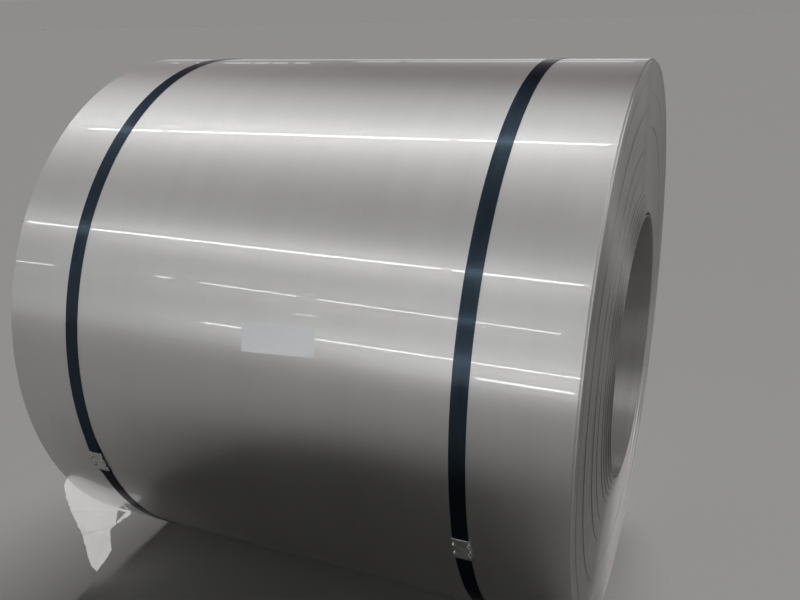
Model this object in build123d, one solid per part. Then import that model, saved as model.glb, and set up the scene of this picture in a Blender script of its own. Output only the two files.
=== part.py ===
from build123d import *
from math import acos, atan2, cos, degrees, radians, sin
import os

# A strapped coil of cold rolled stainless steel strip, lying on its side.
# The coil's axis is +X, the side with the label and the seals is -Y, and the floor is z = 0.
# Sections are drawn in the (Y, Z) plane, round the coil's axis: angle 0 is +Y and 90 is +Z.

# Strip and coil
strip_width = 1250.0
strip_thickness = 1.92
coil_radius = 650.5
bore_radius = 305.0

# Tail of the outermost lap: the angle of its cut edge, low on the hidden side, and the
# way that the outermost laps have slipped towards -X
tail_angle = -68.0
outer_lap_slip = 3.5

# Laps wander along the axis while the coil is wound, and the innermost ones stand out
# towards +X. Each group of laps, from the outside in, is a share of the wound wall, and
# is moved by a share of the most that any group stands out.
telescope = 11.8
lap_groups = [
    (0.100, 0.00),
    (0.100, 0.06),
    (0.097, -0.02),
    (0.114, 0.10),
    (0.135, -0.05),
    (0.130, 0.07),
    (0.135, 0.16),
    (0.050, 0.29),
    (0.040, 0.44),
    (0.035, 0.61),
    (0.028, 0.80),
    (0.036, 1.00),
]

# The innermost lap hangs loose at the +X end: the gap round it is wider at the top
loose_gap = 5.0
loose_gap_lift = 2.5
loose_gap_depth = 180.0

# Straps: painted steel band round the coil, its ends lapped in a crimped seal
strap_width = 32.0
strap_thickness = 0.9
strap_clearance = 0.1
left_strap_inset = 171.0
right_strap_inset = 205.0
layer_gap = 0.05
free_end = 6.0

# Seals: folded sheet sleeves round both layers of strap
seal_angle = -162.3
seal_length = 57.0
seal_wall = 0.9
seal_side_gap = 0.2
seal_seat = 0.15
seal_leg = 13.0
notch_length = 5.4
notch_flare = 1.8
notch_depth = 4.6
notch_pitch = 24.0
tab_tilt = 50.0

# Label: a blank sticker on the shell, set a little askew
label_width = 159.0
label_height = 58.0
label_thickness = 0.15
label_glue = 0.1
label_place = 53.0
label_angle = 164.3
label_skew = 3.4

# Interleaf paper: a torn piece that hangs out of the -X end, over the outermost lap.
# It leaves the coil round this angle, is bent along a line below the rim, and its torn
# outline is given from that point of the rim, in shares of its width and height.
paper_thickness = 0.3
paper_angle = -139.0
paper_width = 200.0
paper_height = 316.0
paper_tuck = 9.0
paper_to_fold = 75.0
paper_past_fold = 105.0
paper_fold_out = 9.0
paper_tip_out = 5.0
paper_outline = [
    (-0.400, 0.351),
    (-0.450, 0.306),
    (-0.440, 0.186),
    (-0.390, 0.031),
    (-0.290, -0.206),
    (-0.270, -0.422),
    (-0.250, -0.542),
    (-0.175, -0.637),
    (-0.030, -0.611),
    (0.130, -0.567),
    (0.175, -0.358),
    (0.550, -0.361),
    (0.515, -0.232),
    (-0.245, 0.363),
]
paper_tear = [(0.350, -0.232), (0.455, -0.298), (0.295, -0.317)]

# Sizes that follow from those above
half_width = strip_width / 2
under_radius = coil_radius - 2 * strip_thickness
wound_wall = under_radius - bore_radius
back_radius = coil_radius - strip_thickness / 2
join_angle = tail_angle + 180
seal_stack = 2 * strap_thickness + 3 * layer_gap
lower_level = seal_seat + seal_wall + layer_gap
upper_level = lower_level + strap_thickness + layer_gap
seal_height = seal_stack + 2 * seal_wall
seal_width = strap_width + 2 * (seal_side_gap + seal_wall)
axis_height = coil_radius + strap_clearance + strap_thickness
strap_places = {"left": left_strap_inset - half_width, "right": half_width - right_strap_inset}


def polar(radius, angle):
    return Vector(radius * cos(radians(angle)), radius * sin(radians(angle)))


def angle_of(point):
    return degrees(atan2(point.Y, point.X))


def touch_angle(point, radius, side):
    """Angle at which a taut line from point touches a circle of this radius about 0, 0."""
    return angle_of(point) + side * degrees(acos(radius / point.length))


def seal_point(along, height):
    """Point in the section: along the strap from the seal's middle, and out from the shell."""
    return polar(coil_radius + height, seal_angle) + polar(along, seal_angle + 90)


# Where the two half turns of the outermost lap have their centres
back_centre = polar(strip_thickness / 2, join_angle)


def turned_laps():
    """The wound laps under the outermost ones, turned as one solid with the bore."""
    right_end = []
    left_end = []
    outer = under_radius
    for wall_share, shift_share in lap_groups:
        inner = outer - wall_share * wound_wall
        shift = shift_share * telescope
        right_end += [(outer, half_width + shift), (inner, half_width + shift)]
        left_end += [(outer, shift - half_width), (inner, shift - half_width)]
        outer = inner
    profile = make_face(Polyline(*right_end, *reversed(left_end), close=True))
    return revolve(Plane.XZ * profile, axis=Axis.Z)


def outermost_lap():
    """The last turn, a spiral of two half circles that ends in the strip's cut edge.

    The lap that it covers at the tail has shifted with it, so the ring is two laps deep there.
    """
    front = CenterArc((0, 0), coil_radius, join_angle, 180)
    back = CenterArc(back_centre, back_radius, tail_angle, 180)
    cut_edge = Line(polar(coil_radius, tail_angle), polar(coil_radius - strip_thickness, tail_angle))
    outline = make_face([front, back, cut_edge])
    ring = outline - Circle(under_radius)
    return Pos(0, 0, -outer_lap_slip - half_width) * extrude(ring, strip_width)


def loose_lap_gap():
    """The eccentric slot round the innermost lap, cut in from the +X end."""
    slot = Pos(0, loose_gap_lift) * Circle(bore_radius + strip_thickness + loose_gap)
    slot -= Circle(bore_radius + strip_thickness)
    return Pos(0, 0, half_width - loose_gap_depth) * extrude(slot, 2 * loose_gap_depth)


def make_coil():
    return turned_laps() + outermost_lap() - loose_lap_gap()


def strap_side(lift):
    """One side of the strap's run round the coil, from the hidden end to the free end."""
    shell = coil_radius + strap_clearance + lift
    back = back_radius + strap_clearance + lift
    hidden_end = seal_point(-seal_length / 2, lower_level + lift)
    mouth_out = seal_point(seal_length / 2, lower_level + lift)
    mouth_in = seal_point(-seal_length / 2, upper_level + lift)
    loose_end = seal_point(seal_length / 2 + free_end, upper_level + lift)
    leaves = touch_angle(mouth_out, shell, 1)
    lands = touch_angle(mouth_in, shell, -1) + 360
    corner = polar(shell, tail_angle)
    bridged = touch_angle(corner - back_centre, back, 1)
    edges = [
        Line(hidden_end, mouth_out),
        Line(mouth_out, polar(shell, leaves)),
        CenterArc((0, 0), shell, leaves, tail_angle - leaves),
        Line(corner, back_centre + polar(back, bridged)),
        CenterArc(back_centre, back, bridged, join_angle - bridged),
        CenterArc((0, 0), shell, join_angle, lands - join_angle),
        Line(polar(shell, lands), mouth_in),
        Line(mouth_in, loose_end),
    ]
    return edges, hidden_end, loose_end


def make_strap(place):
    """A flat band bent round the coil, over the tail's edge, and lapped in the seal."""
    inner, inner_start, inner_stop = strap_side(0)
    outer, outer_start, outer_stop = strap_side(strap_thickness)
    ends = [Line(inner_start, outer_start), Line(inner_stop, outer_stop)]
    band = make_face([*inner, *outer, *ends])
    strap = Pos(0, 0, place - strap_width / 2) * extrude(band, strap_width)
    return strap - crimp_notches(place)


def seal_plane(place):
    """Plane on the shell at the seal: x runs along the strap, y along the coil, z outwards."""
    middle = polar(coil_radius, seal_angle)
    along = polar(1, seal_angle + 90)
    outwards = polar(1, seal_angle)
    return Plane(origin=(middle.X, middle.Y, place), x_dir=along, z_dir=outwards)


def notch_places():
    """Middle of each notch along the strap, and the side of the seal that it is on."""
    return [(end * notch_pitch / 2, side) for end in (-1, 1) for side in (-1, 1)]


def crimp_notches(place):
    """The notches that the sealer cuts through the seal and both layers of strap."""
    cuts = []
    for along, side in notch_places():
        root = side * (seal_width / 2 - notch_depth)
        mouth = side * seal_width / 2
        bottom = notch_length / 2
        top = bottom + notch_flare
        corners = [(-bottom, root), (bottom, root), (top, mouth), (-top, mouth)]
        notch = extrude(make_face(Polyline(*corners, close=True)), 4 * seal_height)
        cuts.append(Pos(along, 0, -seal_height) * notch)
    return seal_plane(place) * Compound(cuts)


def crimp_tabs():
    """The bits of sheet beside the notches, turned outwards by the crimp."""
    tabs = []
    for along, side in notch_places():
        root = side * (seal_width / 2 - notch_depth)
        tab = Box(notch_length, notch_depth, seal_wall, align=(Align.CENTER, Align.MIN, Align.MAX))
        tab = Rot(tab_tilt, 0, 0) * (Pos(0, -seal_wall / 2) * tab)
        if side < 0:
            tab = mirror(tab, Plane.XZ)
        tabs.append(Pos(along, root, seal_seat + seal_height) * tab)
    return tabs


def make_seal(place):
    """A sleeve folded round the lapped strap ends, open along its underside."""
    sleeve = Rectangle(seal_width, seal_height, align=(Align.CENTER, Align.MIN))
    room = Rectangle(seal_width - 2 * seal_wall, seal_stack, align=(Align.CENTER, Align.MIN))
    slot = Rectangle(seal_width - 2 * seal_leg, 2 * seal_wall, align=(Align.CENTER, Align.CENTER))
    section = sleeve - Pos(0, seal_wall) * room - slot
    body = extrude(Plane.YZ * section, seal_length / 2, both=True)
    seal = seal_plane(place) * (Pos(0, 0, seal_seat) * body)
    seal -= crimp_notches(place)
    for tab in crimp_tabs():
        seal += seal_plane(place) * tab
    return seal


def make_label():
    """A thin sticker that follows the shell: a tilted rectangle cut from a thin tube."""
    back = coil_radius + label_glue
    tube = Circle(back + label_thickness) - Circle(back)
    tube = extrude(tube, 2 * label_width, both=True)
    stamp = Box(label_height, label_width, label_height)
    middle = polar(coil_radius, label_angle)
    across = polar(1, label_angle + 90)
    outwards = polar(1, label_angle)
    face = Plane(origin=(middle.X, middle.Y, 0), x_dir=across, z_dir=outwards)
    return Pos(0, 0, label_place) * (tube & (face * (Rot(0, 0, label_skew) * stamp)))


def torn_shape(corners):
    """A flat shape from shares of the paper's size, set at the rim where the paper leaves."""
    scaled = [(across * paper_width, up * paper_height) for across, up in corners]
    return Pos(polar(coil_radius, paper_angle)) * make_face(Polyline(*scaled, close=True))


def make_paper():
    """A thin cone-shaped sheet that touches the outermost lap's end, cut to its torn outline."""
    seat = -outer_lap_slip - half_width
    fold_radius = coil_radius + paper_to_fold
    run = [
        (coil_radius - paper_tuck, seat),
        (coil_radius, seat),
        (fold_radius, seat - paper_fold_out),
        (fold_radius + paper_past_fold, seat - paper_tip_out),
    ]
    back = [(radius, along - paper_thickness) for radius, along in reversed(run)]
    sheet = revolve(Plane.XZ * make_face(Polyline(*run, *back, close=True)), axis=Axis.Z)
    outline = torn_shape(paper_outline) - torn_shape(paper_tear)
    prism = Pos(0, 0, -strip_width) * extrude(outline, strip_width)
    return sheet & prism


def write_part(name, shape):
    """Turn a shape from section coordinates to the part's own, and write it."""
    placed = Pos(0, 0, axis_height) * (Plane.YZ.location * shape)
    solids = placed.solids()
    placed = solids[0] if len(solids) == 1 else Compound(solids)
    placed.label = name
    export_step(placed, f"parts/{name}.step")
    box = placed.bounding_box()
    print(f"{name}: {len(solids)} solid, {placed.volume / 1e3:.1f} cm3, {box.min} to {box.max}")


os.makedirs("parts", exist_ok=True)
write_part("coil", make_coil())
for side, place in strap_places.items():
    write_part(f"{side}_strap", make_strap(place))
    write_part(f"{side}_seal", make_seal(place))
write_part("label", make_label())
write_part("interleaf_paper", make_paper())
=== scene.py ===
# %% [markdown]
# # A strapped coil of stainless strip
# A coil is one very long strip of cold rolled steel, wound round a mandrel, taken off it,
# and tied with two steel straps. This lesson dresses the plain model of such a coil: the
# loose outer laps, the stack of turns on both ends, the bore, the crimped straps, a blank
# label and a torn edge of the paper that is wound in between the laps.
# All sizes are in metres. The coil's axis runs along X, and the floor is z = 0.

# %% The frame
import random
from math import acos, atan2, cos, exp, hypot, pi, radians, sin, tau

import bmesh
import bpy
from mathutils import Matrix, Vector, noise


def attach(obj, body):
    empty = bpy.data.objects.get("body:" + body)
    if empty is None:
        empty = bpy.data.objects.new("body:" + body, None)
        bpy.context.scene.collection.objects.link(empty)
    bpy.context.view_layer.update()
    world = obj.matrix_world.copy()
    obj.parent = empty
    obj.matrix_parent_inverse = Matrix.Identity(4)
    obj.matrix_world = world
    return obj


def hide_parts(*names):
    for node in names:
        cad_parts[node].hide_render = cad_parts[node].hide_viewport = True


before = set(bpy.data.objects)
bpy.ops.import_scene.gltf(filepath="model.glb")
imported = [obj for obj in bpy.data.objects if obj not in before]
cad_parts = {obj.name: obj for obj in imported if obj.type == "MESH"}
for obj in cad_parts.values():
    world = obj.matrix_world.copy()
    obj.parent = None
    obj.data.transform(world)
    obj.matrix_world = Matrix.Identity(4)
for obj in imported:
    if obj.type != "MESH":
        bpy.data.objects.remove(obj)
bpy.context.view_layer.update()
print("CAD nodes:", sorted(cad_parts))

# %% [markdown]
# ## The coil's sizes
# These are the plain model's own sizes, so every new piece falls where the old one was.
# They could be measured on its meshes, but named sizes are easier to follow. Angles are
# counted round the axis: 0 points to +Y, and 90 to +Z.

# %% Sizes of the coil
strip_thickness = 0.00192
coil_radius = 0.6505
bore_radius = 0.305
half_width = 0.625
axis_height = 0.6515
tail_angle = -68.0
outer_lap_slip = 0.0035


def round_axis(radius, angle, x=0.0):
    """The point at this distance and angle (in degrees) from the coil's axis."""
    turn = radians(angle)
    return Vector((x, radius * cos(turn), axis_height + radius * sin(turn)))


print("top of the coil:", round(round_axis(coil_radius, 90).z, 4))

# %% [markdown]
# ## Camera
# It stands close to the coil at eye height and looks down on it, past the right-hand end,
# so that the end shows as a thin crescent. A constraint could aim it, but three turns in a
# row also give it the slight roll of a camera held by hand.

# %% Camera
camera_place = (0.8217, -1.8050, 1.3944)
camera_yaw, camera_dip, camera_roll = 0.4110, 0.3417, -0.0232
camera_data = bpy.data.cameras.new("camera")
camera_data.sensor_width = 36.0
camera_data.lens = 35.69
camera_data.clip_start = 0.05
camera_data.clip_end = 1000.0
camera = bpy.data.objects.new("camera", camera_data)
bpy.context.scene.collection.objects.link(camera)
yaw = Matrix.Rotation(camera_yaw, 4, "Z")
pitch = Matrix.Rotation(pi / 2 - camera_dip, 4, "X")
roll = Matrix.Rotation(camera_roll, 4, "Z")
camera.matrix_world = Matrix.Translation(camera_place) @ yaw @ pitch @ roll
bpy.context.scene.camera = camera
bpy.context.scene.view_settings.view_transform = "Standard"
print("camera height:", round(camera.location.z, 3))

# %% [markdown]
# ## Helpers for the steel pieces
# Most pieces here are a small section carried along a line: round the axis for a lap, and
# round the coil and through the seal for a strap. A bevelled curve can't narrow or shift
# the section where we like, so `sweep` extrudes a ring of edges and moves the new ring to
# the next station, which is a matrix that says where the section stands.

# %% Helpers: section, sweep and finish
def rounded_section(bm, x_range, y_range, corner):
    """A rectangle with rounded corners in the XY plane. Gives back its edges."""
    verts = bmesh.ops.create_grid(bm, x_segments=1, y_segments=1, size=0.5)["verts"]
    width = x_range[1] - x_range[0]
    height = y_range[1] - y_range[0]
    bmesh.ops.scale(bm, vec=(width, height, 1), verts=verts)
    middle = (sum(x_range) / 2, sum(y_range) / 2, 0)
    bmesh.ops.translate(bm, vec=middle, verts=verts)
    bmesh.ops.bevel(
        bm, geom=verts, offset=corner, offset_type="OFFSET", segments=2,
        profile=0.5, affect="VERTICES", material=-1,
    )
    bmesh.ops.delete(bm, geom=bm.faces[:], context="FACES_ONLY")
    return bm.edges[:]


def extrude_edges(bm, edges):
    """Extrude edges on the spot. Gives back the new verts and the edges that join them."""
    made = bmesh.ops.extrude_edge_only(bm, edges=edges)["geom"]
    verts = {g for g in made if isinstance(g, bmesh.types.BMVert)}
    new = [e for e in made if isinstance(e, bmesh.types.BMEdge) and set(e.verts) <= verts]
    return list(verts), new


def sweep(bm, ring, stations):
    """Carry a ring of edges, drawn at the origin, along the stations."""
    verts = list({v for e in ring for v in e.verts})
    bmesh.ops.transform(bm, matrix=stations[0], verts=verts)
    here = stations[0]
    for station in stations[1:]:
        verts, ring = extrude_edges(bm, ring)
        bmesh.ops.transform(bm, matrix=station @ here.inverted(), verts=verts)
        here = station


def close_ends(bm):
    bmesh.ops.holes_fill(bm, edges=[e for e in bm.edges if e.is_boundary], sides=0)


def finish_piece(name, bm, node, sharp=15.0):
    """Make the mesh an object that rides on the coil and stands for a CAD node."""
    bmesh.ops.recalc_face_normals(bm, faces=bm.faces[:])
    mesh = bpy.data.meshes.new(name)
    bm.to_mesh(mesh)
    bm.free()
    mesh.polygons.foreach_set("use_smooth", [True] * len(mesh.polygons))
    mesh.set_sharp_from_angle(angle=radians(sharp))
    piece = bpy.data.objects.new(name, mesh)
    bpy.context.scene.collection.objects.link(piece)
    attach(piece, "root")
    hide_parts(node)
    mesh.calc_loop_triangles()
    print(f"{name}: {len(mesh.loop_triangles)} triangles")
    return piece


# %% [markdown]
# ## The outermost laps
# The last two turns have slipped a few millimetres off the stack, and the last one ends in
# a cut edge low on the hidden side. A lathe shape would close on itself and lose that edge,
# so the strip's section is swept for two whole turns and drifts inwards by one thickness in
# the back half of each turn.

# %% Outermost laps
turn_steps = 240
outer_turns = 2
second_lap_shift = 0.0012
strip_corner = 0.0003


def lap_drift(turned):
    """How far the strip has come in, after turning this many degrees from its tail."""
    laps, part = divmod(turned, 360)
    back = max(part - 180, 0)
    return strip_thickness * (laps + (1 - cos(radians(back))) / 2)


def lap_station(turned):
    spin = Matrix.Rotation(radians(tail_angle - turned), 4, "X")
    drift = lap_drift(turned)
    inwards = Matrix.Translation((second_lap_shift * drift / strip_thickness, -drift, 0))
    return Matrix.Translation((0, 0, axis_height)) @ spin @ inwards


bm = bmesh.new()
section = rounded_section(
    bm, (-half_width - outer_lap_slip, half_width - outer_lap_slip),
    (coil_radius - strip_thickness, coil_radius), strip_corner,
)
steps = outer_turns * turn_steps
sweep(bm, section, [lap_station(360 * outer_turns * i / steps) for i in range(steps + 1)])
close_ends(bm)
outer_laps = finish_piece("outer_laps", bm, "coil")

# %% [markdown]
# ## The stack of turns on the ends
# Seen from the end, a coil is a stack of some 175 strip edges. The laps wander while the
# coil is wound, so they stand in groups, some proud and some sunk, and the innermost thirty
# or so climb out in steps towards +X. A ring with painted lines would look flat from the
# side, so every lap gets its own place here: its group's, and a little chance on top.

# %% How far each lap stands out
stack_top = coil_radius - outer_turns * strip_thickness
wound_wall = stack_top - bore_radius
telescope = 0.0118
# each group's share of the wall, from the outside in, and its share of the telescope
lap_groups = [
    (0.100, 0.00), (0.100, 0.06), (0.097, -0.02), (0.114, 0.10), (0.135, -0.05), (0.130, 0.07),
    (0.135, 0.16), (0.050, 0.29), (0.040, 0.44), (0.035, 0.61), (0.028, 0.80), (0.036, 1.00),
]


def group_shift(radius):
    """The shift of the group of laps that this radius falls in."""
    depth = (stack_top - radius) / wound_wall
    for share, shift in lap_groups:
        if depth <= share:
            return shift * telescope
        depth -= share
    return telescope


chance = random.Random(7)
lap_jitter = 0.00008
first_lap_shift = 0.0006
lap_count = int((stack_top - bore_radius) / strip_thickness)
lap_shifts = []
for lap in range(lap_count):
    radius = stack_top - (lap + 0.5) * strip_thickness
    lap_shifts.append(group_shift(radius) + chance.gauss(0, lap_jitter))
lap_shifts[0] = first_lap_shift
print("laps in the stack:", lap_count)

# %% [markdown]
# Each edge slopes away on its inner side, down to a groove. `extrude_vert_indiv` draws the
# profile point by point, and one full spin with its ends merged makes the ring. Then every
# lap wanders a little along the axis, by a smooth noise of its radius and angle, because
# no lap is a perfect circle.

# %% Stack of turns
spin_steps = 128
groove_depth, burr, shoulder, play = 0.0006, 0.00008, 0.0006, 0.0001
stack_wander, lap_wander = 0.0009, 0.00022


def draw_line(bm, points):
    """A wire through the points, each one extruded from the last. Gives back its ends."""
    first = last = bm.verts.new(points[0])
    for point in points[1:]:
        made = bmesh.ops.extrude_vert_indiv(bm, verts=[last])
        last = made["verts"][0]
        last.co = point
    return first, last


def stack_profile(side, inner_radius, back_x):
    """The stack's section from the outermost of its laps to the innermost, and back."""
    points = []
    radius = stack_top
    previous = side * half_width + lap_shifts[0]
    for shift in lap_shifts:
        if radius - strip_thickness < inner_radius - play:
            break
        x = side * half_width + shift
        low = min(x, previous) if side > 0 else max(x, previous)
        points.append((low - side * groove_depth, radius))
        points.append((x, radius - burr))
        points.append((x, radius - strip_thickness + shoulder))
        radius -= strip_thickness
        previous = x
    points.append((previous - side * groove_depth, radius))
    points += [(back_x, radius), (back_x, stack_top)]
    return [Vector((x, r, axis_height)) for x, r in points]


def wander(bm, side, back_x):
    """Let the laps' edges drift along the axis, all together and each on its own."""
    for v in bm.verts:
        if abs(v.co.x - back_x) < 0.001:
            continue
        y, z = v.co.y, v.co.z - axis_height
        radius = hypot(y, z)
        slow = Vector((y / radius, z / radius, radius * 9.0)) * 0.9
        lap = Vector((y / radius * 1.3, z / radius * 1.3, radius * 260.0 + side * 5))
        v.co.x += stack_wander * noise.noise(slow) + lap_wander * noise.noise(lap)


def turned_stack(side, inner_radius, back_x):
    """A ring with all the laps' edges on one end, and a plain back inside the shell."""
    bm = bmesh.new()
    first, last = draw_line(bm, stack_profile(side, inner_radius, back_x))
    bm.edges.new((last, first))
    bmesh.ops.spin(
        bm, geom=bm.verts[:] + bm.edges[:], cent=(0, 0, axis_height), axis=(1, 0, 0),
        angle=tau, steps=spin_steps, use_merge=True, use_duplicate=False,
    )
    bmesh.ops.remove_doubles(bm, verts=bm.verts[:], dist=0.00001)
    wander(bm, side, back_x)
    return bm


# %% [markdown]
# At the right-hand end the innermost lap hangs loose, and the gap behind it is wide at the
# top of the bore and narrow at the bottom. The lap could be lowered, but it lines the whole
# bore, so the innermost part of the ring is lifted instead.

# %% Right-hand and left-hand stacks
right_back, left_back = 0.440, -0.560
gap_radius = bore_radius + strip_thickness + 0.005
gap_lift, lift_reach = 0.0025, 0.03
bm = turned_stack(1, gap_radius, right_back)
for v in bm.verts:
    radius = hypot(v.co.y, v.co.z - axis_height)
    v.co.z += gap_lift * max(0.0, 1 - (radius - gap_radius) / lift_reach)
right_turns = finish_piece("right_turns", bm, "coil", sharp=30)

bm = turned_stack(-1, bore_radius + strip_thickness, left_back)
left_turns = finish_piece("left_turns", bm, "coil", sharp=30)

# %% [markdown]
# ## The bore
# The innermost lap lines the bore. It starts at the strip's leading edge, which the mandrel
# gripped, and runs one turn outwards from there. A plain tube would hide that edge. The lap
# is swept like the outermost laps, but bends in and out by a fraction of a millimetre,
# because nothing holds it round.

# %% Innermost lap
leading_angle = 205.0
bore_slack, slack_waves, slack_phase = 0.0005, 3, 40


def bore_station(turned):
    spin = Matrix.Rotation(radians(leading_angle + turned), 4, "X")
    slack = bore_slack * (1 + sin(radians(slack_waves * turned + slack_phase))) / 2
    outwards = Matrix.Translation((0, strip_thickness * turned / 360 + slack, 0))
    return Matrix.Translation((0, 0, axis_height)) @ spin @ outwards


bm = bmesh.new()
section = rounded_section(
    bm, (telescope - half_width, telescope + half_width),
    (bore_radius, bore_radius + strip_thickness), strip_corner,
)
sweep(bm, section, [bore_station(360 * i / turn_steps) for i in range(turn_steps + 1)])
close_ends(bm)
bore_lap = finish_piece("bore_lap", bm, "coil")

# %% [markdown]
# ## Straps
# A strap is one flat steel band. It starts inside the seal as the lower of two layers,
# leaves it in a straight line until it touches the coil, goes once round, steps down over
# the cut edge of the outermost lap, and comes back into the seal as the upper layer. The
# sealer has notched both layers, so the band is narrower at those stations. A plain ring
# would be quicker, but would lack the straight runs beside the seal.

# %% Sizes of strap and seal
strap_width = 0.032
strap_thickness = 0.0009
strap_corner = 0.00025
strap_clearance = 0.0001
strap_tail = 0.006
layer_gap = 0.00005
seal_angle = -162.3
seal_length = 0.057
seal_wall = 0.0009
seal_seat = 0.00015
notch_pitch = 0.024
notch_depth = 0.0046
notch_length = 0.0054
notch_flare = 0.0018
seal_width = strap_width + 2 * (0.0002 + seal_wall)
seal_height = 2 * strap_thickness + 3 * layer_gap + 2 * seal_wall
lower_level = seal_seat + seal_wall + layer_gap
upper_level = lower_level + strap_thickness + layer_gap
print("seal stands off the coil by", round(seal_seat + seal_height, 5))

# %% Points on the section through the coil
def flat(radius, angle):
    """A point of the section through the coil, as (y, z - axis height)."""
    return Vector((radius * cos(radians(angle)), radius * sin(radians(angle))))


def touch_angle(point, radius, side):
    """Where a straight line from a point touches a circle round the axis."""
    start = atan2(point.y, point.x) * 180 / pi
    return start + side * acos(radius / point.length) * 180 / pi


def seal_point(along, height):
    return flat(coil_radius + height, seal_angle) + flat(along, seal_angle + 90)


def arc(centre, radius, start, stop, step=2.5):
    """Points and outward angles along an arc that turns from start to stop."""
    count = max(2, round(abs(stop - start) / step))
    angles = [start + (stop - start) * i / count for i in range(count + 1)]
    return [(centre + flat(radius, a), a, 1.0) for a in angles]


# %% Line of the straps
def in_seal(level, first, last):
    """The straight run through the seal, narrowed at the notches."""
    narrow = 1 - (notch_depth - (seal_width - strap_width) / 2) / (strap_width / 2)
    wide_at = notch_length / 2 + notch_flare
    marks = [(first, 1.0), (last, 1.0)]
    for middle in (-notch_pitch / 2, notch_pitch / 2):
        marks += [(middle + s * wide_at, 1.0) for s in (-1, 1)]
        marks += [(middle + s * notch_length / 2, narrow) for s in (-1, 1)]
    marks.sort()
    return [(seal_point(along, level), seal_angle, share) for along, share in marks]


def strap_line():
    """Stations of a strap: the point, the outward angle and the share of its width."""
    axis = Vector((0, 0))
    join_angle = tail_angle + 180
    back_centre = flat(strip_thickness / 2, join_angle)
    shell = coil_radius + strap_clearance
    back = coil_radius - strip_thickness / 2 + strap_clearance
    leaves = touch_angle(seal_point(seal_length / 2, lower_level), shell, 1)
    lands = touch_angle(seal_point(-seal_length / 2, upper_level), shell, -1) + 360
    corner = flat(shell, tail_angle)
    bridged = touch_angle(corner - back_centre, back, 1)
    line = in_seal(lower_level, -seal_length / 2, seal_length / 2)
    line += arc(axis, shell, leaves, tail_angle)
    line += arc(back_centre, back, bridged, join_angle)
    line += arc(axis, shell, join_angle, lands)[1:]
    line += in_seal(upper_level, -seal_length / 2, seal_length / 2 + strap_tail)
    return line


def strap_station(point, outward, share, place):
    spin = Matrix.Rotation(radians(outward), 4, "X")
    move = Matrix.Translation((place, point.x, axis_height + point.y))
    return move @ spin @ Matrix.Diagonal((share, 1, 1, 1))


print("stations along a strap:", len(strap_line()))

# %% Straps
strap_places = {"left": -0.454, "right": 0.420}
straps = {}
for side, place in strap_places.items():
    bm = bmesh.new()
    half = strap_width / 2
    section = rounded_section(bm, (-half, half), (0, strap_thickness), strap_corner)
    sweep(bm, section, [strap_station(*station, place) for station in strap_line()])
    close_ends(bm)
    straps[side] = finish_piece(f"{side}_band", bm, f"{side}_strap")

# %% [markdown]
# ## Seals
# A seal is a short sleeve of zinc-coated sheet, folded round both layers of the strap. The
# sealer bites four notches into its sides and turns the cut tabs outwards, which locks the
# band. Notches cut out of a solid sleeve would leave no tabs, so the sleeve starts as a
# grid whose lines lie where the notches and folds will be. Its notch faces are deleted, the
# tabs and the folded sides are extruded from the edges, and the thickness comes last.

# %% A grid with its lines where we want them
def ruled_grid(bm, xs, ys):
    """A flat grid whose lines are at these places in X and Y."""
    columns, rows = len(xs) - 1, len(ys) - 1
    bmesh.ops.create_grid(bm, x_segments=columns, y_segments=rows, size=0.5)
    for v in bm.verts:
        column = round((v.co.x + 0.5) * columns)
        row = round((v.co.y + 0.5) * rows)
        v.co = (xs[column], ys[row], 0)


def near(a, b):
    return abs(a - b) < 0.00001


def drawn_out(bm, edges, step):
    """Extrude edges by a step. Gives back the new edges."""
    verts, new = extrude_edges(bm, edges)
    bmesh.ops.translate(bm, vec=step, verts=verts)
    return new


# %% The sleeve's sheet
seal_top = seal_seat + seal_height
seal_flange = 0.012
# how far the two halves of a tab go, outwards and up
tab_root, tab_tip = (0.0012, 0.0007), (0.0016, 0.0024)


def seal_sheet():
    """The sleeve in its own coordinates: X along the strap, Y across it, Z outwards."""
    half, side = seal_length / 2, seal_width / 2
    root = side - notch_depth
    bite, mouth = notch_length / 2, notch_length / 2 + notch_flare
    centre = notch_pitch / 2
    # lines at the notches, and a few more that keep the faces short
    xs = [0.0, 0.004, centre - mouth, centre - bite, centre, centre + bite, centre + mouth]
    xs = sorted({s * x for s in (-1, 1) for x in xs + [0.0225, half]})
    ys = sorted({s * y for s in (-1, 1) for y in (0.0, 0.006, root, side - 0.0015, side)})
    bm = bmesh.new()
    ruled_grid(bm, xs, ys)
    cut_away = [
        f for f in bm.faces
        if abs(f.calc_center_median().y) > root
        and abs(abs(f.calc_center_median().x) - centre) < bite
    ]
    bmesh.ops.delete(bm, geom=cut_away, context="FACES")
    for v in bm.verts:
        if near(abs(v.co.y), side) and near(abs(abs(v.co.x) - centre), bite):
            outwards = 1 if abs(v.co.x) > centre else -1
            v.co.x += outwards * notch_flare * 0.85 * (1 if v.co.x > 0 else -1)
    bmesh.ops.translate(bm, vec=(0, 0, seal_top), verts=bm.verts[:])
    for sign in (-1, 1):
        rims = [e for e in bm.edges if e.is_boundary]
        sides = [e for e in rims if all(near(v.co.y, sign * side) for v in e.verts)]
        down = drawn_out(bm, sides, (0, 0, -seal_height + seal_wall))
        drawn_out(bm, down, (0, -sign * seal_flange, 0))
        roots = [
            e for e in bm.edges
            if e.is_boundary and all(near(v.co.y, sign * root) for v in e.verts)
            and all(abs(abs(v.co.x) - centre) < bite + 0.0001 for v in e.verts)
        ]
        lift = drawn_out(bm, roots, (0, sign * tab_root[0], tab_root[1]))
        drawn_out(bm, lift, (0, sign * tab_tip[0], tab_tip[1]))
    return bm


# %% Seals
crown_height, bite_dip, bite_reach, dents = 0.0003, 0.00035, 0.006, 0.0002


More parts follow.
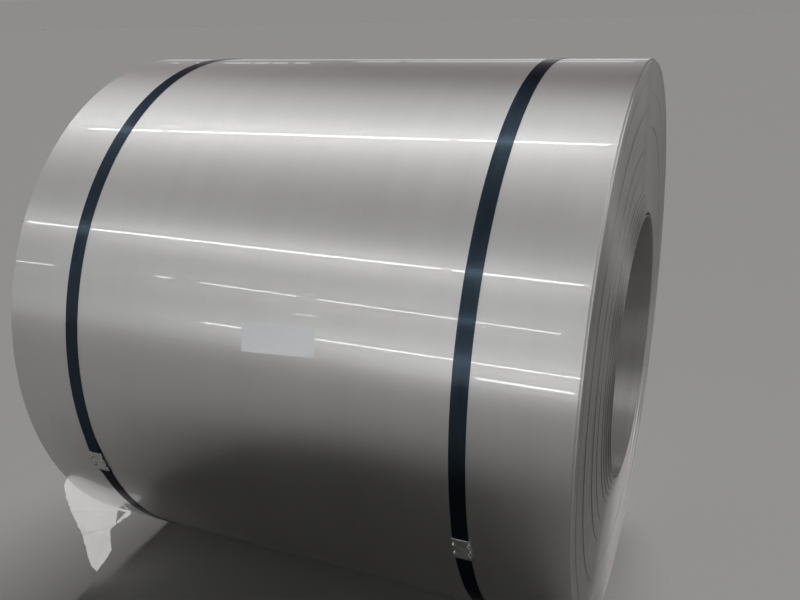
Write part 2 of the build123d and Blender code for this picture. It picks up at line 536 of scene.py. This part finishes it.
def seal_matrix(place):
    """From the sleeve's own coordinates to its place on the coil."""
    spin = Matrix.Rotation(radians(seal_angle), 4, "X")
    # columns: along the strap, along the coil, outwards
    local = Matrix(((0, 1, 0, 0), (0, 0, 1, 0), (1, 0, 0, 0), (0, 0, 0, 1)))
    move = Matrix.Translation(round_axis(coil_radius, seal_angle, place))
    return move @ spin @ local


seals = {}
for number, (side, place) in enumerate(strap_places.items()):
    bm = seal_sheet()
    for v in bm.verts:
        if near(v.co.z, seal_top):
            crown = 1 - (v.co.y / (seal_width / 2)) ** 2
            pressed = max(0.0, 1 - abs(abs(v.co.x) - notch_pitch / 2) / bite_reach)
            v.co.z += crown_height * crown - bite_dip * pressed * crown
            v.co.z += dents * noise.noise(v.co * 160 + Vector((number * 7, 0, 0)))
    bmesh.ops.recalc_face_normals(bm, faces=bm.faces[:])
    bmesh.ops.solidify(bm, geom=bm.faces[:], thickness=seal_wall * 0.9)
    bmesh.ops.transform(bm, matrix=seal_matrix(place), verts=bm.verts[:])
    seals[side] = finish_piece(f"{side}_clip", bm, f"{side}_seal", sharp=35)
    rounding = seals[side].modifiers.new("rounded_edges", "BEVEL")
    rounding.width = 0.00035
    rounding.material = 1
    rounding.segments = 2
    rounding.limit_method = "ANGLE"
    rounding.angle_limit = radians(35)

# %% [markdown]
# ## Label
# A smooth paper sticker with round corners, stuck on a little askew and left blank. A
# Shrinkwrap modifier would do, but the wrap is easy to write: the label is drawn flat and
# turned by its skew, and then up and down becomes an angle round the coil. One corner has
# come up a little, and the paper has a few soft blisters.

# %% Label
label_width, label_height = 0.159, 0.058
label_place, label_angle, label_skew = 0.053, 164.3, 3.4
label_glue, label_thickness, label_corner = 0.0001, 0.00015, 0.0025
label_columns, label_rows = 20, 54
curl_reach, curl_lift, blister_lift = 0.022, 0.0016, 0.0003


def wrap(v, lift):
    """Lay a flat point on the shell: X is down the coil's side and Y along its axis."""
    angle = label_angle + v.x / coil_radius * 180 / pi
    return round_axis(coil_radius + label_glue + lift, angle, label_place + v.y)


bm = bmesh.new()
columns = [label_height * (i / label_columns - 0.5) for i in range(label_columns + 1)]
rows = [label_width * (i / label_rows - 0.5) for i in range(label_rows + 1)]
ruled_grid(bm, columns, rows)
far_up, far_out = label_height / 2, label_width / 2
bmesh.ops.bevel(
    bm, geom=[v for v in bm.verts if near(abs(v.co.x), far_up) and near(abs(v.co.y), far_out)],
    offset=label_corner, offset_type="OFFSET", segments=4,
    profile=0.5, affect="VERTICES", material=-1,
)
skew = Matrix.Rotation(radians(label_skew), 3, "Z")
bmesh.ops.rotate(bm, cent=(0, 0, 0), matrix=skew, verts=bm.verts[:])
for v in bm.verts:
    corner = (v.co - Vector((far_up, far_out, 0))).length
    curl = max(0.0, 1 - corner / curl_reach) ** 2
    blister = max(0.0, noise.noise(v.co * 45.0) - 0.25)
    v.co = wrap(v.co, curl_lift * curl + blister_lift * blister)
bmesh.ops.recalc_face_normals(bm, faces=bm.faces[:])
bmesh.ops.solidify(bm, geom=bm.faces[:], thickness=label_thickness)
sticker = finish_piece("sticker", bm, "label", sharp=60)

# %% [markdown]
# ## Interleaf paper
# Thin white paper is wound in between the laps, so that they don't scratch each other. A
# torn piece of it hangs out of the left-hand end, with one straight fold below the rim, a
# fainter crease above it, and a small three-cornered hole near the tip under the coil. A
# cloth simulation would hardly fall like this, so the sheet is cut and bent.

# %% Torn outline
paper_width, paper_height = 0.200, 0.316
paper_rim = flat(coil_radius, -139.0)
# corners as shares of the width and height, counted from the rim
paper_outline = [
    (-0.400, 0.351), (-0.450, 0.306), (-0.440, 0.186), (-0.390, 0.031), (-0.290, -0.206),
    (-0.270, -0.422), (-0.250, -0.542), (-0.175, -0.637), (-0.030, -0.611), (0.130, -0.567),
    (0.175, -0.358), (0.550, -0.361), (0.515, -0.232), (-0.245, 0.363),
]
paper_hole = [(0.330, -0.234), (0.463, -0.306), (0.268, -0.342)]
paper_fold = [(-0.332, -0.225), (0.175, -0.358)]
paper_crease = [(-0.474, 0.090), (0.018, -0.111)]


def paper_points(corners):
    scaled = [Vector((a * paper_width, b * paper_height)) for a, b in corners]
    return [paper_rim + v for v in scaled]


outline, hole = paper_points(paper_outline), paper_points(paper_hole)
fold, crease = paper_points(paper_fold), paper_points(paper_crease)
print("paper hangs down to z =", round(axis_height + min(v.y for v in outline), 3))

# %% [markdown]
# The sheet starts as a fine grid. `bisect_plane` cuts it along every line of the outline
# and the hole, and the waste is deleted. The cuts leave slivers, which would fold over
# when the edge is roughened, so they are merged away.

# %% Cutting the sheet
paper_cell = 0.0025


def inside(point, corners):
    """True if a flat point lies inside the closed outline."""
    hit = False
    for a, b in zip(corners, corners[1:] + corners[:1]):
        if (a.y > point.y) != (b.y > point.y):
            crossing = a.x + (point.y - a.y) / (b.y - a.y) * (b.x - a.x)
            hit ^= point.x < crossing
    return hit


def is_waste(face):
    middle = face.calc_center_median()
    return not inside(middle, outline) or inside(middle, hole)


def cell_lines(values):
    """Places of the grid's lines, from the lowest value to just past the highest."""
    low, high = min(values), max(values)
    return [low + paper_cell * i for i in range(int((high - low) / paper_cell) + 2)]


bm = bmesh.new()
ruled_grid(bm, cell_lines([v.x for v in outline]), cell_lines([v.y for v in outline]))
for ring in (outline, hole):
    for a, b in zip(ring, ring[1:] + ring[:1]):
        across = Vector((b.y - a.y, a.x - b.x, 0))
        bmesh.ops.bisect_plane(
            bm, geom=bm.verts[:] + bm.edges[:] + bm.faces[:],
            dist=0.00002, plane_co=a.to_3d(), plane_no=across,
        )
bmesh.ops.delete(bm, geom=[f for f in bm.faces if is_waste(f)], context="FACES")
bmesh.ops.remove_doubles(bm, verts=bm.verts[:], dist=0.0006)
bmesh.ops.dissolve_degenerate(bm, dist=0.0002, edges=bm.edges[:])
print("faces of the cut sheet:", len(bm.faces))

# %% [markdown]
# Every point of the flat sheet is then given its place. A noise shifts it a little within
# the sheet, which makes the cut edges look torn. The sheet leans away from the coil's end
# down to a bend, comes back towards it below, waves, and carries the fold and the crease.
# Within the rim it stays flat.

# %% Interleaf paper
paper_gap, paper_thickness = 0.0002, 0.00015
rough_below, wavy_below = 0.012, 0.03
fine_tatter, coarse_tatter = 0.0007, 0.0020
long_wave, short_wave = 0.0016, 0.0006
fold_height, crease_depth = 0.0018, 0.0009
# distances from the axis, and how far the sheet stands off the end's plane there
paper_stand = [
    (0.55, 0.0), (coil_radius, 0.0), (coil_radius + 0.075, 0.009), (coil_radius + 0.18, 0.005),
]


def paper_out(radius):
    for (r0, x0), (r1, x1) in zip(paper_stand, paper_stand[1:]):
        if radius <= r1:
            return x0 + (x1 - x0) * (radius - r0) / (r1 - r0)
    return paper_stand[-1][1]


def ridge(point, line, width):
    """1 on a line of the sheet, and falling to 0 on both sides of it."""
    a, b = line
    across = Vector((b.y - a.y, a.x - b.x)).normalized()
    return exp(-(((point - a).dot(across) / width) ** 2))


# without a seed, noise_vector shifts its pattern by the clock
noise.seed_set(11)
for v in bm.verts:
    flat_point = v.co.xy.copy()
    radius = flat_point.length
    below = max(0.0, radius - coil_radius)
    torn = noise.noise_vector(v.co * 260.0) * fine_tatter
    torn = torn + noise.noise_vector(v.co * 90.0) * coarse_tatter
    flat_point += torn.xy * min(1.0, below / rough_below)
    wave = long_wave * noise.noise(v.co * 14.0) + short_wave * noise.noise(v.co * 38.0)
    raised = fold_height * ridge(flat_point, fold, 0.0045)
    sunk = crease_depth * ridge(flat_point, crease, 0.004)
    bent = (wave + (raised - sunk)) * min(1.0, below / wavy_below)
    x = -half_width - outer_lap_slip - paper_out(radius) + bent
    v.co = (x - paper_gap, flat_point.x, axis_height + flat_point.y)
flat_area = sum(f.calc_area() for f in bm.faces)
bmesh.ops.recalc_face_normals(bm, faces=bm.faces[:])
bmesh.ops.solidify(bm, geom=bm.faces[:], thickness=paper_thickness)
paper = finish_piece("torn_paper", bm, "interleaf_paper", sharp=70)
print("paper area in cm2:", round(flat_area * 1e4, 1))

# %% [markdown]
# ## Materials
# Each finish is one Principled shader, with noise for what varies over the surface. A few
# helpers keep the finishes short enough to compare. Patterns read Object coordinates, which
# are the coil's own here.

# %% Helpers for nodes
def new_finish(name, metallic=0.0):
    """A new material: itself, its node tree and its Principled shader."""
    mat = bpy.data.materials.new(name)
    mat.use_nodes = True
    tree = mat.node_tree
    shader = tree.nodes["Principled BSDF"]
    shader.inputs["Metallic"].default_value = metallic
    print("finish:", name)
    return mat, tree, shader


def add(tree, kind, **values):
    node = tree.nodes.new(kind)
    for key, value in values.items():
        setattr(node, key, value)
    return node


def maths(tree, operation, *values):
    """A Math node. Sockets among the values are linked in, and numbers are set."""
    node = add(tree, "ShaderNodeMath", operation=operation)
    for value, socket in zip(values, node.inputs):
        if isinstance(value, bpy.types.NodeSocket):
            tree.links.new(value, socket)
        else:
            socket.default_value = value
    return node.outputs[0]


def remap(tree, value, start, stop, curve="LINEAR"):
    """Map one range to another, and hold the value at their ends."""
    node = add(tree, "ShaderNodeMapRange", interpolation_type=curve)
    for name, number in zip(("From Min", "From Max", "To Min", "To Max"), (*start, *stop)):
        node.inputs[name].default_value = number
    tree.links.new(value, node.inputs["Value"])
    return node.outputs["Result"]


def ramp(tree, value, stops):
    """A colour ramp through (place, colour) stops."""
    node = add(tree, "ShaderNodeValToRGB")
    bar = node.color_ramp
    while len(bar.elements) < len(stops):
        bar.elements.new(0.5)
    for element, (place, colour) in zip(bar.elements, stops):
        element.position = place
        element.color = (*colour, 1.0)
    tree.links.new(value, node.inputs["Fac"])
    return node.outputs["Color"]


# %% Helpers for finishes
def grain(tree, scale, detail):
    """A noise on Object coordinates, which are scaled on each axis."""
    coords = add(tree, "ShaderNodeTexCoord")
    mapping = add(tree, "ShaderNodeMapping")
    mapping.inputs["Scale"].default_value = scale
    tree.links.new(coords.outputs["Object"], mapping.inputs["Vector"])
    node = add(tree, "ShaderNodeTexNoise")
    node.inputs["Scale"].default_value = 1.0
    node.inputs["Detail"].default_value = detail
    tree.links.new(mapping.outputs["Vector"], node.inputs["Vector"])
    return node.outputs["Fac"]


def spread(tree, value, low, high):
    """Map 0.3 to 0.7, where most of a noise lies, to low to high."""
    return remap(tree, value, (0.3, 0.7), (low, high))


def paint(tree, shader, pattern, start, stop):
    """Let the base colour follow a noise, between two (place, colour) stops."""
    colour = ramp(tree, pattern, [start, stop])
    tree.links.new(colour, shader.inputs["Base Color"])
    return colour


def roughen(tree, shader, value):
    tree.links.new(value, shader.inputs["Roughness"])


def bump(tree, height, distance):
    node = add(tree, "ShaderNodeBump")
    node.inputs["Distance"].default_value = distance
    tree.links.new(height, node.inputs["Height"])
    return node.outputs["Normal"]


def grain_along_axis(tree, shader, amount):
    """Anisotropic shine whose tangent is the coil's axis."""
    shader.inputs["Anisotropic"].default_value = amount
    along = add(tree, "ShaderNodeCombineXYZ")
    along.inputs["X"].default_value = 1.0
    tree.links.new(along.outputs["Vector"], shader.inputs["Tangent"])


# %% [markdown]
# ### Rolled strip
# Cold rolled stainless has a soft mirror: a crisp core, and a haze that is wide along the
# coil's axis and narrow round it, because the rolls leave fine lines along the strip. One
# roughness can't give both, so the haze is the metal itself, with its anisotropy along X,
# and the crisp core is its coat. Faint lines run round the coil, and the strip isn't flat.

# %% Rolled strip
rolled, tree, shader = new_finish("rolled_strip", metallic=1.0)
lines = grain(tree, (420.0, 3.0, 3.0), 3.0)
bands = grain(tree, (26.0, 0.7, 0.7), 2.0)
clouds = grain(tree, (3.0, 3.0, 3.0), 3.0)
tone = maths(
    tree, "ADD", maths(tree, "MULTIPLY", lines, 0.35), maths(tree, "MULTIPLY", bands, 0.65),
)
paint(tree, shader, tone, (0.35, (0.592, 0.588, 0.577)), (0.65, (0.612, 0.609, 0.598)))
streaks = spread(tree, bands, -0.008, 0.008)
roughen(tree, shader, maths(tree, "ADD", streaks, spread(tree, clouds, 0.305, 0.335)))
shader.inputs["Coat Weight"].default_value = 0.8
shader.inputs["Coat Roughness"].default_value = 0.03
shader.inputs["Coat IOR"].default_value = 1.7
grain_along_axis(tree, shader, 0.5)
swell = grain(tree, (2.2, 1.5, 1.5), 0.0)
tree.links.new(bump(tree, swell, 0.0005), shader.inputs["Normal"])
tree.links.new(bump(tree, swell, 0.0005), shader.inputs["Coat Normal"])

# %% [markdown]
# ### Slit edges
# The strip is slit to width by round knives, which leave a dull grey edge with lines across
# its thickness. On the coil's end those lines all point away from the axis. Bump lines so
# fine would flicker, so the shader is anisotropic, and its tangent points away from the axis.

# %% Slit edges
slit, tree, shader = new_finish("slit_edges", metallic=1.0)
edge_tone = grain(tree, (40.0, 9.0, 9.0), 4.0)
paint(tree, shader, edge_tone, (0.35, (0.28, 0.275, 0.267)), (0.65, (0.335, 0.329, 0.320)))
roughen(tree, shader, spread(tree, edge_tone, 0.28, 0.36))
shader.inputs["Anisotropic"].default_value = 0.5
coords = add(tree, "ShaderNodeTexCoord")
from_axis = add(tree, "ShaderNodeMapping")
from_axis.inputs["Location"].default_value = (0.0, 0.0, -axis_height)
from_axis.inputs["Scale"].default_value = (0.0, 1.0, 1.0)
tree.links.new(coords.outputs["Object"], from_axis.inputs["Vector"])
outwards = add(tree, "ShaderNodeVectorMath", operation="NORMALIZE")
tree.links.new(from_axis.outputs["Vector"], outwards.inputs[0])
tree.links.new(outwards.outputs["Vector"], shader.inputs["Tangent"])

# %% [markdown]
# ### Burnished shoulders
# Where the laps rub on each other their inner shoulders are polished, and from the side
# they catch the light as fine bright arcs. With the edge's finish the arcs would vanish, so
# they get a paler and softer metal of their own.

# %% Burnished shoulders
burnished, tree, shader = new_finish("burnished_shoulders", metallic=1.0)
rub = grain(tree, (60.0, 14.0, 14.0), 4.0)
paint(tree, shader, rub, (0.35, (0.46, 0.453, 0.441)), (0.65, (0.52, 0.513, 0.50)))
roughen(tree, shader, spread(tree, rub, 0.38, 0.44))

# %% [markdown]
# ### Cut edges of the outermost laps, with painted shade
# The two loose laps stand free of the stack. Round the rim, their edges and the shadow in the
# gap beside them read as a thin dark line. That shade is painted: a near-black metal, darker
# than the steel, draws the line without a lamp being moved.

# %% Cut edges of the outermost laps, painted dark as shade
cut, tree, shader = new_finish("cut_edges_painted_shade", metallic=1.0)
painted_shade_mottle = grain(tree, (90.0, 30.0, 30.0), 3.0)
# near-black metal: the edges' grey, with the shade of the gap round the rim painted in
paint(tree, shader, painted_shade_mottle, (0.35, (0.070, 0.068, 0.064)), (0.65, (0.110, 0.107, 0.101)))
roughen(tree, shader, spread(tree, painted_shade_mottle, 0.38, 0.50))

# %% [markdown]
# ### Bore
# The innermost lap was dragged over the mandrel, so it is rougher than the shell, and its
# haze runs far along the axis. It is the same strip, but has no crisp core, so its finish
# is a rougher metal with strong anisotropy and no coat. Its grey is darker than the
# shell's, and that darkness is painted shade of the inside of the bore.

# %% Bore finish
lining, tree, shader = new_finish("bore_strip_painted_shade", metallic=1.0)
lines = grain(tree, (420.0, 3.0, 3.0), 3.0)
clouds = grain(tree, (4.0, 4.0, 4.0), 3.0)
# darker than the shell's steel: painted shade inside the bore
paint(tree, shader, lines, (0.35, (0.40, 0.396, 0.388)), (0.65, (0.46, 0.456, 0.447)))
roughen(tree, shader, spread(tree, clouds, 0.44, 0.52))
grain_along_axis(tree, shader, 0.9)
swell = grain(tree, (3.0, 5.0, 5.0), 1.0)
tree.links.new(bump(tree, swell, 0.002), shader.inputs["Normal"])

# %% [markdown]
# ### Which face gets which finish
# A swept lap has broad faces and edges, and a stack has edges, shoulders and its outermost
# lap. Their normals tell them apart: an edge looks along the axis, and a shoulder towards
# it.

# %% Finishes of the strip's pieces
edge_look, shoulder_look, shell_depth = 0.6, -0.3, 0.00035
# the outer laps' edges take the painted-shade metal, and the bore its darker, painted-shade
# steel
for piece, broad, edge in ((outer_laps, rolled, cut), (bore_lap, lining, slit)):
    piece.data.materials.append(broad)
    piece.data.materials.append(edge)
    for polygon in piece.data.polygons:
        polygon.material_index = 1 if abs(polygon.normal.x) > edge_look else 0
for piece in (right_turns, left_turns):
    for finish in (slit, rolled, burnished):
        piece.data.materials.append(finish)
    for polygon in piece.data.polygons:
        y, z = polygon.center.y, polygon.center.z - axis_height
        radius = hypot(y, z)
        if radius > stack_top - shell_depth:
            polygon.material_index = 1
        elif (polygon.normal.y * y + polygon.normal.z * z) / radius < shoulder_look:
            polygon.material_index = 2

# %% [markdown]
# ### Strap lacquer
# The straps are lacquered in a blue that is almost black, and mirror the lamps in blue. A
# glossy paint would mirror them in white, so this is a dark blue metal, and its specular
# tint keeps the glancing reflections from turning pale.

# %% Strap lacquer
lacquer, tree, shader = new_finish("strap_lacquer", metallic=1.0)
scuff = grain(tree, (60.0, 14.0, 14.0), 5.0)
paint(tree, shader, scuff, (0.30, (0.030, 0.045, 0.060)), (0.70, (0.040, 0.058, 0.077)))
roughen(tree, shader, spread(tree, scuff, 0.14, 0.19))
shader.inputs["Specular Tint"].default_value = (0.50, 0.48, 0.50, 1.0)
for strap in straps.values():
    strap.data.materials.append(lacquer)

# %% [markdown]
# ### Zinc on the seals
# Zinc-coated sheet is a matt pale grey with a fine mottle. Where the sealer bent or cut it,
# the coat is scraped. Those faces get a near-white metal, which is also a painted highlight
# for the glints on the tabs and rims. A painted mask could show that, but the bent and cut
# faces are known by their normals, and the bevel on the edges takes the second finish by its
# number.

# %% Zinc and its bright rims, scraped and with painted glints
flat_look = 0.9
zinc, tree, shader = new_finish("seal_zinc", metallic=1.0)
dull = grain(tree, (120.0, 120.0, 120.0), 4.0)
paint(tree, shader, dull, (0.3, (0.50, 0.52, 0.515)), (0.7, (0.66, 0.68, 0.67)))
roughen(tree, shader, spread(tree, dull, 0.35, 0.5))

bright, tree, shader = new_finish("zinc_rims_painted_glint", metallic=1.0)
# near-white: scraped zinc, and a painted highlight for the glints on tabs and rims
shader.inputs["Base Color"].default_value = (0.93, 0.94, 0.93, 1.0)
wear = grain(tree, (300.0, 300.0, 300.0), 3.0)
roughen(tree, shader, spread(tree, wear, 0.22, 0.34))

facing = Vector((0, cos(radians(seal_angle)), sin(radians(seal_angle))))
for seal in seals.values():
    seal.data.materials.append(zinc)
    seal.data.materials.append(bright)
    for polygon in seal.data.polygons:
        polygon.material_index = 0 if polygon.normal.dot(facing) > flat_look else 1

# %% [markdown]
# ### Label and paper
# The label is coated paper, a little bluish and with a faint gloss. The interleaf is thin,
# matt and soft, and some light comes through it. Subsurface scattering is meant for thick
# things, so a translucent shader is mixed in instead.

# %% Label and interleaf
coated, tree, shader = new_finish("sticker_paper")
fibre = grain(tree, (500.0, 500.0, 500.0), 3.0)
paint(tree, shader, fibre, (0.3, (0.57, 0.59, 0.605)), (0.7, (0.63, 0.65, 0.665)))
shader.inputs["Roughness"].default_value = 0.45
sticker.data.materials.append(coated)

thin, tree, shader = new_finish("interleaf")
fibre = grain(tree, (300.0, 300.0, 300.0), 4.0)
colour = paint(tree, shader, fibre, (0.3, (0.80, 0.79, 0.785)), (0.7, (0.86, 0.85, 0.845)))
shader.inputs["Roughness"].default_value = 0.8
through = add(tree, "ShaderNodeBsdfTranslucent")
tree.links.new(colour, through.inputs["Color"])
both = add(tree, "ShaderNodeMixShader")
both.inputs["Fac"].default_value = 0.15
tree.links.new(shader.outputs["BSDF"], both.inputs[1])
tree.links.new(through.outputs["BSDF"], both.inputs[2])
tree.links.new(both.outputs["Shader"], tree.nodes["Material Output"].inputs["Surface"])
paper.data.materials.append(thin)

# %% [markdown]
# ## Studio
# The floor is plain, pale and matt. A small plate would do for the camera, but the shell
# mirrors the floor right up to the horizon, so its edge lies there.

# %% Floor
bm = bmesh.new()
bmesh.ops.create_circle(bm, cap_ends=True, radius=300.0, segments=64)
floor_mesh = bpy.data.meshes.new("floor")
bm.to_mesh(floor_mesh)
bm.free()
floor = bpy.data.objects.new("floor", floor_mesh)
bpy.context.scene.collection.objects.link(floor)
floor_paint, tree, shader = new_finish("floor_paint")
shader.inputs["Base Color"].default_value = (0.46, 0.455, 0.446, 1.0)
shader.inputs["Roughness"].default_value = 1.0
shader.inputs["Specular IOR Level"].default_value = 0.0
floor_mesh.materials.append(floor_paint)

# %% [markdown]
# ### Levels of the sky
# What we see on a polished shell is the room round it. The room could be built from walls
# and panels, but only its levels of light matter, so the world is painted instead. Its
# level follows the angle from the horizon in front (0), over the top (90), to the horizon
# behind (180), and differs a little from left to right.

# %% Levels of the sky
levels_right = [
    (0, 0.94), (7, 0.90), (14, 0.75), (21, 0.65), (42, 0.65), (49, 0.52), (63, 0.34),
    (70, 0.36), (87, 0.71), (96, 0.87), (105, 0.90), (114, 0.79), (123, 0.54), (133, 0.30),
    (143, 0.20), (155, 0.25), (170, 0.38), (175, 0.75), (177, 1.40), (180, 1.50),
]
levels_left = [
    (0, 0.48), (7, 0.52), (21, 0.47), (42, 0.53), (56, 0.49), (66, 0.44), (78, 0.59),
    (87, 0.85), (96, 1.07), (105, 1.02), (123, 0.73), (143, 0.33), (155, 0.31), (170, 0.38),
    (175, 0.75), (177, 1.40), (180, 1.50),
]


def tinted(angle, level):
    """A little rose in the band behind the coil's top, and a little warm overhead."""
    rose = max(0.0, 1 - abs(angle - 148) / 22)
    warm = max(0.0, 1 - abs(angle - 78) / 25)
    red = 1 + 0.06 * rose + 0.012 * warm
    return (level * red, level * (1 - 0.09 * rose), level * (1 - 0.06 * rose - 0.02 * warm))


world = bpy.data.worlds.new("studio")
bpy.context.scene.world = world
world.use_nodes = True
tree = world.node_tree
coords = add(tree, "ShaderNodeTexCoord")
split = add(tree, "ShaderNodeSeparateXYZ")
tree.links.new(coords.outputs["Generated"], split.inputs["Vector"])
height = maths(tree, "ABSOLUTE", split.outputs["Z"])
front = maths(tree, "MULTIPLY", split.outputs["Y"], -1.0)
over_top = maths(tree, "DIVIDE", maths(tree, "ARCTAN2", height, front), pi)
skies = []
for levels in (levels_left, levels_right):
    stops = [(angle / 180, tinted(angle, level)) for angle, level in levels]
    skies.append(ramp(tree, over_top, stops))
blend = add(tree, "ShaderNodeMix", data_type="RGBA")
to_right = remap(tree, split.outputs["X"], (-0.67, -0.15), (0.0, 1.0))
tree.links.new(to_right, blend.inputs["Factor"])
tree.links.new(skies[0], blend.inputs[6])
tree.links.new(skies[1], blend.inputs[7])
print("levels of the sky:", len(levels_left), "left and", len(levels_right), "right")

# %% [markdown]
# ### Along the coil, and two openings
# Along the axis the room is uneven too, so a curve of X multiplies the level. A curve node
# ends at 1, so its shares are halved, and doubled again behind it. Two soft glows are
# added: a window behind the right-hand end, which lights its shoulders and the bore, and a
# skylight above it. Lamps would show their edges.

# %% Along the coil, and two openings
shares_along = [
    (0.0, 0.9), (0.10, 0.90), (0.165, 1.0), (0.25, 0.87), (0.34, 0.92), (0.39, 1.06),
    (0.42, 1.13), (0.46, 0.95), (0.53, 0.55), (0.65, 0.55), (0.80, 1.00), (1.0, 1.04),
]
sideways = add(tree, "ShaderNodeFloatCurve")
across = maths(tree, "MULTIPLY_ADD", split.outputs["X"], 0.5, 0.5)
tree.links.new(across, sideways.inputs["Value"])
line = sideways.mapping.curves[0]
line.points[0].location = (0.0, shares_along[0][1] / 2)
line.points[1].location = (1.0, shares_along[-1][1] / 2)
for place, share in shares_along[1:-1]:
    line.points.new(place, share / 2)
sideways.mapping.update()


def opening(towards, start, full, strength):
    """A glow round one direction. Start and full are how far the ray looks its way."""
    look = add(tree, "ShaderNodeVectorMath", operation="DOT_PRODUCT")
    tree.links.new(coords.outputs["Generated"], look.inputs[0])
    look.inputs[1].default_value = towards
    return remap(tree, look.outputs["Value"], (start, full), (0.0, strength), "SMOOTHSTEP")


window = opening((0.64, 0.71, 0.29), 0.80, 0.94, 3.2)
skylight = opening((0.45, -0.30, 0.84), 0.92, 0.98, 3.6)
openings = maths(tree, "ADD", window, skylight)
mirrored_level = maths(tree, "MULTIPLY_ADD", sideways.outputs["Value"], 2.0, openings)

# %% [markdown]
# ### What sees the sky
# If this sky also lit the matt things, they would be too bright. Light Path tells the rays
# apart: the camera and the mirror-like rays see the painted levels, and all others a dim
# light. Low down, and far out at both ends, a plain grey backdrop takes the sky's place.

# %% What sees the sky
dim_level = 0.06
path = add(tree, "ShaderNodeLightPath")
seen = maths(tree, "MAXIMUM", path.outputs["Is Camera Ray"], path.outputs["Is Glossy Ray"])
seen = maths(tree, "MAXIMUM", seen, path.outputs["Is Transmission Ray"])
no_bounce = maths(tree, "LESS_THAN", path.outputs["Diffuse Depth"], 0.5)
seen = maths(tree, "MULTIPLY", seen, no_bounce)
level = add(tree, "ShaderNodeMix", data_type="FLOAT")
tree.links.new(seen, level.inputs["Factor"])
level.inputs["A"].default_value = dim_level
tree.links.new(mirrored_level, level.inputs["B"])
background = tree.nodes["Background"]
tree.links.new(blend.outputs[2], background.inputs["Color"])
tree.links.new(level.outputs["Result"], background.inputs["Strength"])

backdrop = add(tree, "ShaderNodeBackground")
backdrop.inputs["Color"].default_value = (0.270, 0.266, 0.261, 1.0)
tilted = maths(tree, "MULTIPLY_ADD", split.outputs["Y"], -0.05, split.outputs["Z"])
above = remap(tree, tilted, (-0.010, 0.025), (0.0, 1.0), "SMOOTHSTEP")
end_on = maths(tree, "ABSOLUTE", split.outputs["X"])
not_far = remap(tree, end_on, (0.84, 0.95), (1.0, 0.0), "SMOOTHSTEP")
mixed = add(tree, "ShaderNodeMixShader")
tree.links.new(maths(tree, "MULTIPLY", above, not_far), mixed.inputs["Fac"])
tree.links.new(backdrop.outputs["Background"], mixed.inputs[1])
tree.links.new(background.outputs["Background"], mixed.inputs[2])
tree.links.new(mixed.outputs["Shader"], tree.nodes["World Output"].inputs["Surface"])
print("level for matt things:", dim_level)

# %% [markdown]
# ### Key and fill
# A soft key from behind lights the floor and throws the coil's shadow forwards. A low fill
# lights the label and the paper, which the key can't reach. Both are hidden from
# mirror-like rays, because the shell would show them as patches.

# %% Key and fill
def put_lamp(name, data, place=(0, 0, 0)):
    lamp = bpy.data.objects.new(name, data)
    lamp.location = place
    bpy.context.scene.collection.objects.link(lamp)
    return lamp


key_data = bpy.data.lights.new("key", "SUN")
key_data.energy = 3.0
key_data.angle = radians(35)
key = put_lamp("key", key_data)
key.rotation_euler = Vector((0.10, 0.80, 0.57)).to_track_quat("Z", "Y").to_euler()
key.visible_glossy = False

fill_data = bpy.data.lights.new("fill", "AREA")
fill_data.shape = "RECTANGLE"
fill_data.size = 2.0
fill_data.size_y = 0.3
fill_data.energy = 330.0
fill = put_lamp("fill", fill_data, (4.4, -4.6, 0.16))
fill_target = Vector((0, -0.6, 0.7))
fill.rotation_euler = (fill.location - fill_target).to_track_quat("Z", "Y").to_euler()
fill.visible_glossy = False
fill.visible_camera = False
print("fill stands", round((fill.location - fill_target).length, 2), "m away")

# %% [markdown]
# ### Rows of long lamps
# Long lamps in rows draw the bright broken lines along the shell and the straps. Lines that
# were painted on would stay when the camera moves. A row's height and distance set where
# its line lies on the curve, the slant turns the line, and gaps between the spans break it.

# %% Rows of long lamps
def lamp_row(name, y, z, spans, width, radiance, slant=(0.0, 0.0)):
    """A row of long lamps, seen in the coil as one broken line of light.

    y and z are the row's place at x = 0, and slant is how they change along X.
    """
    for number, (start, stop) in enumerate(spans):
        middle = (start + stop) / 2
        data = bpy.data.lights.new(f"{name}_{number}", "AREA")
        data.shape = "RECTANGLE"
        data.size = stop - start
        data.size_y = width
        data.energy = radiance * pi * data.size * width
        place = Vector((middle, y + slant[0] * middle, z + slant[1] * middle))
        along = Vector((1, *slant)).normalized()
        away = place - Vector((middle, 0, axis_height))
        away = (away - away.dot(along) * along).normalized()
        lamp = put_lamp(data.name, data)
        lamp.matrix_world = Matrix((along, away.cross(along), away)).transposed().to_4x4()
        lamp.location = place
        lamp.visible_camera = False
        lamp.visible_diffuse = False


lamp_row(
    "overhead", 0.25, 5.0, [(-4.28, -3.54), (-3.46, -3.12), (-3.06, -1.07), (-0.98, 0.03)],
    0.04, 16.0, slant=(0.040, 0.0),
)
lamp_row(
    "front_high", -4.0, 4.01, [(-5.85, -5.06), (-4.99, -3.96), (-3.92, -1.27), (-1.18, -0.15)],
    0.045, 14.0, slant=(0.0, -0.053),
)
lamp_row("front_left", -5.8, 3.28, [(-6.96, -6.41)], 0.04, 10.0)
lamp_row(
    "front_low", -5.8, 3.09, [(-4.96, -4.75), (-4.37, -3.15), (-2.9, -0.47)],
    0.04, 10.0, slant=(0.0, -0.062),
)
lamp_row("single", -5.8, 2.50, [(-3.02, -2.74)], 0.03, 8.0)
lamp_row("far_front", -9.0, 2.05, [(-6.2, -4.35), (-4.30, -0.56)], 0.06, 12.0)
lamp_row("far_low", -9.0, 1.19, [(-1.95, -0.72)], 0.11, 10.0)
short_spans = [
    (-8.1, -7.95), (-7.6, -7.45), (-7.06, -6.55), (-6.5, -6.2), (-6.15, -5.85), (-5.75, -5.47),
]
lamp_row("behind", 9.0, 4.0, short_spans, 0.35, 0.9)
lamp_row("behind_right", 9.0, 3.4, [(-4.6, -3.9), (-3.8, -0.6)], 0.35, 0.6)
print("lamps:", len(bpy.data.lights))
